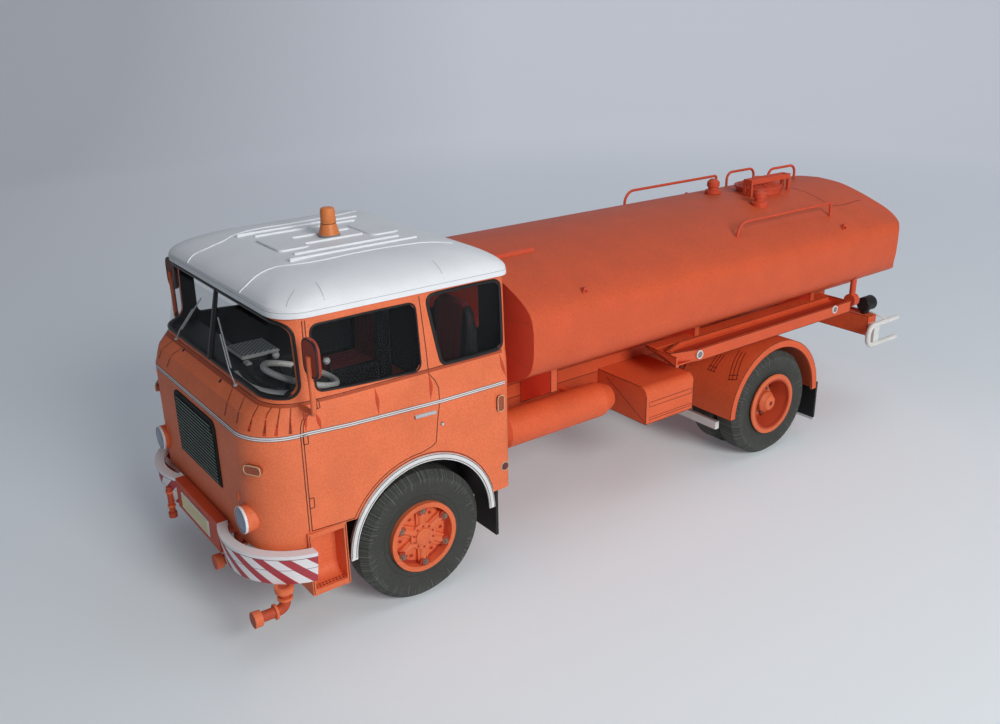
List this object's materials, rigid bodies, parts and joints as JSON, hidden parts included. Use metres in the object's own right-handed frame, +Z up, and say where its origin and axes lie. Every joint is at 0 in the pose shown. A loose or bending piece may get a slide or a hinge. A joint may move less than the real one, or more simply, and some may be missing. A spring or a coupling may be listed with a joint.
{
  "type": "card scale model of a cab-over sprinkler tanker lorry",
  "caption": "Card scale model of a cab-over sprinkler tanker lorry: domed closed tank, hollow glazed cab, hose troughs, twin rear wheels, wheels that roll.",
  "frame": {"origin": "on the ground under the middle of the overall box", "axes": "+Z up, the lorry faces -Y, its left side is +X"},
  "size_m": [0.0902, 0.2416, 0.0924],
  "materials": {
    "amber_lens": "printed amber card",
    "black_card": "printed black card",
    "clear_film": "clear film",
    "dark_card": "printed dark red-orange card",
    "grey_card": "printed grey card",
    "lamp_card": "printed blue-grey lens card",
    "maroon_card": "printed maroon card",
    "orange_card": "printed orange card, matt, fine grain",
    "pale_card": "printed pale grey card",
    "striped_card": "white card with red diagonal stripes",
    "tyre": "printed dark grey card, matt",
    "white_card": "printed white card, satin"
  },
  "bodies": {
    "chassis": {"arch_trims": "pale_card", "beacon": "amber_lens", "bumper_centre": "orange_card", "bumper_ends": "striped_card", "cab_body": "orange_card", "cab_floor": "grey_card", "cab_glass": "clear_film", "cab_roof": "white_card", "corner_lamps": "amber_lens", "crossmembers": "dark_card", "dashboard": "grey_card", "engine": "dark_card", "engine_cover": "grey_card", "frame_rail_left": "dark_card", "frame_rail_right": "dark_card", "front_axle": "dark_card", "front_nozzles": "orange_card", "grille_frame": "black_card", "grille_slats": "pale_card", "hatch_guard": "orange_card", "headlamps": "lamp_card", "hose_trough_left": "orange_card", "hose_trough_right": "orange_card", "lifting_lugs": "orange_card", "mirrors": "orange_card", "mud_flaps": "black_card", "propshaft": "dark_card", "rear_axle": "dark_card", "rear_beam": "orange_card", "rear_mudguard_left": "orange_card", "rear_mudguard_right": "orange_card", "seats": "maroon_card", "spray_bars": "grey_card", "steering_wheel": "pale_card", "steps": "orange_card", "storage_tube_left": "orange_card", "storage_tube_right": "orange_card", "tail_guards": "pale_card", "tail_lamps": "black_card", "tank_bearer_left": "orange_card", "tank_bearer_right": "orange_card", "tank_fittings": "orange_card", "tank_hand_rails": "orange_card", "tank_hatch": "orange_card", "tank_shell": "orange_card", "tool_box_left": "orange_card", "tool_box_right": "orange_card", "tow_jaw": "orange_card", "wipers": "grey_card"},
    "front_wheel_left": {"tyre_front_left": "tyre", "rim_front_left": "orange_card"},
    "front_wheel_right": {"tyre_front_right": "tyre", "rim_front_right": "orange_card"},
    "rear_wheels_left": {"tyres_rear_left": "tyre", "rim_rear_left": "orange_card"},
    "rear_wheels_right": {"tyres_rear_right": "tyre", "rim_rear_right": "orange_card"}
  },
  "joints": [
    {"name": "front_wheel_left_spin", "type": "hinge", "parent": "chassis", "child": "front_wheel_left", "pos_m": [0.0319, -0.0762, 0.017], "axis": [1, 0, 0], "continuous": true},
    {"name": "front_wheel_right_spin", "type": "hinge", "parent": "chassis", "child": "front_wheel_right", "pos_m": [-0.0319, -0.0762, 0.017], "axis": [1, 0, 0], "continuous": true},
    {"name": "rear_wheels_left_spin", "type": "hinge", "parent": "chassis", "child": "rear_wheels_left", "pos_m": [0.0272, 0.0538, 0.017], "axis": [1, 0, 0], "continuous": true},
    {"name": "rear_wheels_right_spin", "type": "hinge", "parent": "chassis", "child": "rear_wheels_right", "pos_m": [-0.0272, 0.0538, 0.017], "axis": [1, 0, 0], "continuous": true}
  ]
}
